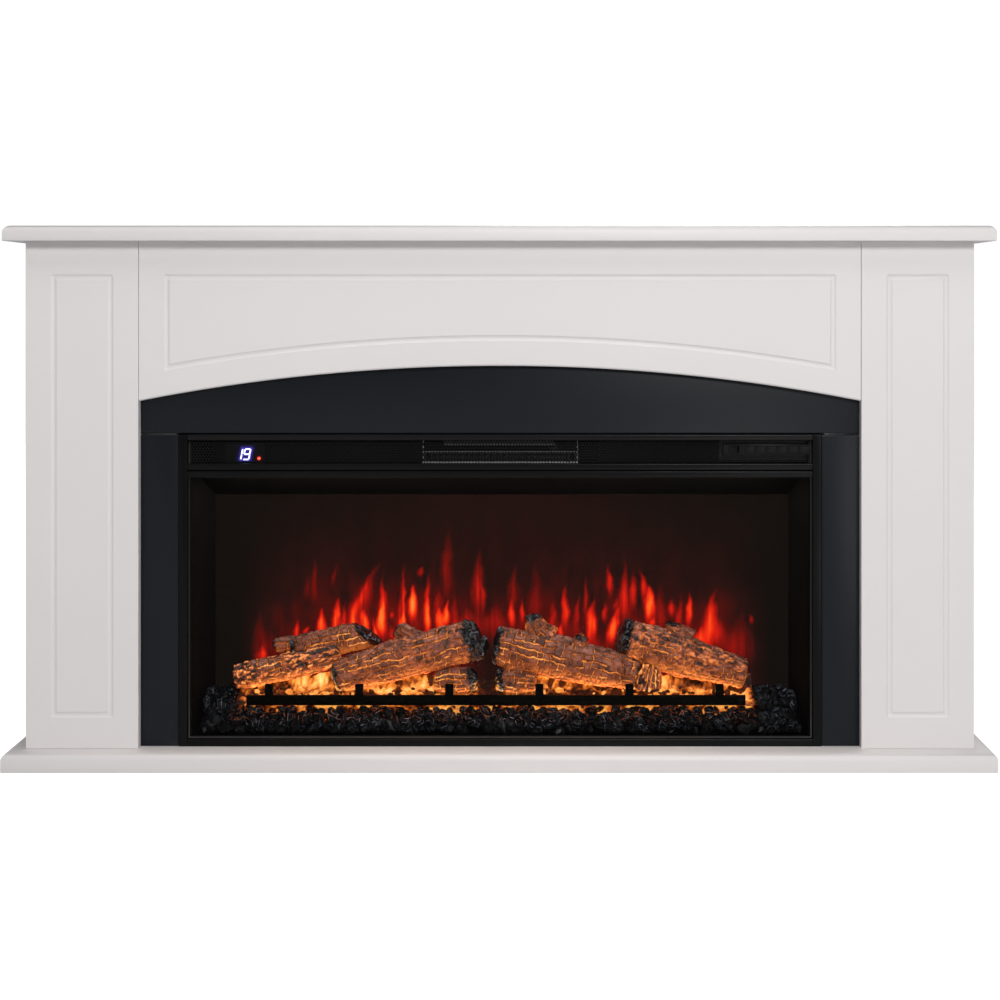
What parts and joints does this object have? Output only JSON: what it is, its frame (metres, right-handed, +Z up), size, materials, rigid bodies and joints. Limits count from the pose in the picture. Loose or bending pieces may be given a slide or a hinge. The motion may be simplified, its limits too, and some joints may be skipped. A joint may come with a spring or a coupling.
{
  "type": "electric fireplace",
  "caption": "White mantel surround with an arched frieze and a wide black electric fire: glass front, log bed on embers, flame screen, hidden fan heater and front controls.",
  "frame": {"origin": "centre of the plinth's footprint, on the floor", "axes": "+Z up, the front faces -Y, +X is the viewer's right"},
  "size_m": [1.654, 0.36, 0.908],
  "materials": {
    "white_board": "fibreboard, warm white satin film",
    "black_board": "fibreboard, matt anthracite film",
    "black_sheet": "matt black powder coat",
    "trim_alloy": "satin black powder coat",
    "grille_sheet": "perforated sheet, satin black",
    "lining_sheet": "matt black",
    "clear_glass": "clear tempered",
    "flame_screen": "smoked acrylic lit from behind",
    "bright_steel": "bright rolled",
    "zinc_steel": "zinc plated",
    "blower_alloy": "pressed blades",
    "black_plastic": "moulded, fine texture",
    "button_plastic": "moulded, satin",
    "circuit_board": "lacquered",
    "ember_resin": "translucent amber moulding, lit from below",
    "log_resin": "painted resin bark with charred ends",
    "grate_iron": "matt black",
    "coal_crystal": "glossy broken lumps",
    "heater_ceramic": "unglazed",
    "display": "black window with white digits"
  },
  "bodies": {
    "root": {"base_plinth": "white_board", "mantel_shelf": "white_board", "left_pilaster": "white_board", "right_pilaster": "white_board", "left_side_panel": "white_board", "right_side_panel": "white_board", "left_return_panel": "white_board", "right_return_panel": "white_board", "frieze_panel": "white_board", "top_slip_panel": "black_board", "left_slip_panel": "black_board", "right_slip_panel": "black_board", "rear_rail": "white_board", "assembly_screws": "zinc_steel", "wall_brackets": "zinc_steel", "casing_back": "black_sheet", "casing_top": "black_sheet", "casing_base": "black_sheet", "casing_ends": "black_sheet", "trim_top_rail": "trim_alloy", "trim_bottom_rail": "trim_alloy", "trim_left_stile": "trim_alloy", "trim_right_stile": "trim_alloy", "air_grille": "grille_sheet", "grille_sill": "trim_alloy", "glass_top_strip": "trim_alloy", "glass_pane": "clear_glass", "side_liners": "lining_sheet", "ceiling_panel": "lining_sheet", "flame_screen": "flame_screen", "flame_stencil": "bright_steel", "spindle_bearings": "black_plastic", "spindle_motor": "zinc_steel", "led_boards": "circuit_board", "ember_bed": "ember_resin", "log_left_front": "log_resin", "log_left_back": "log_resin", "log_left_centre": "log_resin", "log_right_centre": "log_resin", "log_right": "log_resin", "log_offcuts": "log_resin", "grate": "grate_iron", "coal_bed": "coal_crystal", "heater_duct": "zinc_steel", "blower_motor": "zinc_steel", "heating_element": "heater_ceramic", "thermal_cutout": "heater_ceramic", "control_board": "circuit_board", "display_module": "display", "control_panel": "black_plastic", "cable_gland": "black_plastic"},
    "spindle": {"flame_spindle": "bright_steel"},
    "blower": {"blower_wheel": "blower_alloy"},
    "switch": {"power_switch": "button_plastic"},
    "button_1": {"button_1": "button_plastic"},
    "button_2": {"button_2": "button_plastic"},
    "button_3": {"button_3": "button_plastic"},
    "button_4": {"button_4": "button_plastic"},
    "button_5": {"button_5": "button_plastic"},
    "button_6": {"button_6": "button_plastic"}
  },
  "joints": [
    {"name": "flame_spindle_spin", "type": "hinge", "parent": "root", "child": "spindle", "pos_m": [0, 0.024, 0.12], "axis": [1, 0, 0], "continuous": true},
    {"name": "blower_spin", "type": "hinge", "parent": "root", "child": "blower", "pos_m": [0, -0.07, 0.526], "axis": [1, 0, 0], "continuous": true},
    {"name": "power_switch_rock", "type": "hinge", "parent": "root", "child": "switch", "pos_m": [0.394, -0.1175, 0.531], "axis": [0, 0, 1], "range_deg": [0, 16]},
    {"name": "button_1_press", "type": "slide", "parent": "root", "child": "button_1", "axis": [0, 1, 0], "range_m": [0, 0.0008], "stiffness_N_per_m": 800, "springref_m": -0.0005},
    {"name": "button_2_press", "type": "slide", "parent": "root", "child": "button_2", "axis": [0, 1, 0], "range_m": [0, 0.0008], "stiffness_N_per_m": 800, "springref_m": -0.0005},
    {"name": "button_3_press", "type": "slide", "parent": "root", "child": "button_3", "axis": [0, 1, 0], "range_m": [0, 0.0008], "stiffness_N_per_m": 800, "springref_m": -0.0005},
    {"name": "button_4_press", "type": "slide", "parent": "root", "child": "button_4", "axis": [0, 1, 0], "range_m": [0, 0.0008], "stiffness_N_per_m": 800, "springref_m": -0.0005},
    {"name": "button_5_press", "type": "slide", "parent": "root", "child": "button_5", "axis": [0, 1, 0], "range_m": [0, 0.0008], "stiffness_N_per_m": 800, "springref_m": -0.0005},
    {"name": "button_6_press", "type": "slide", "parent": "root", "child": "button_6", "axis": [0, 1, 0], "range_m": [0, 0.0008], "stiffness_N_per_m": 800, "springref_m": -0.0005}
  ]
}
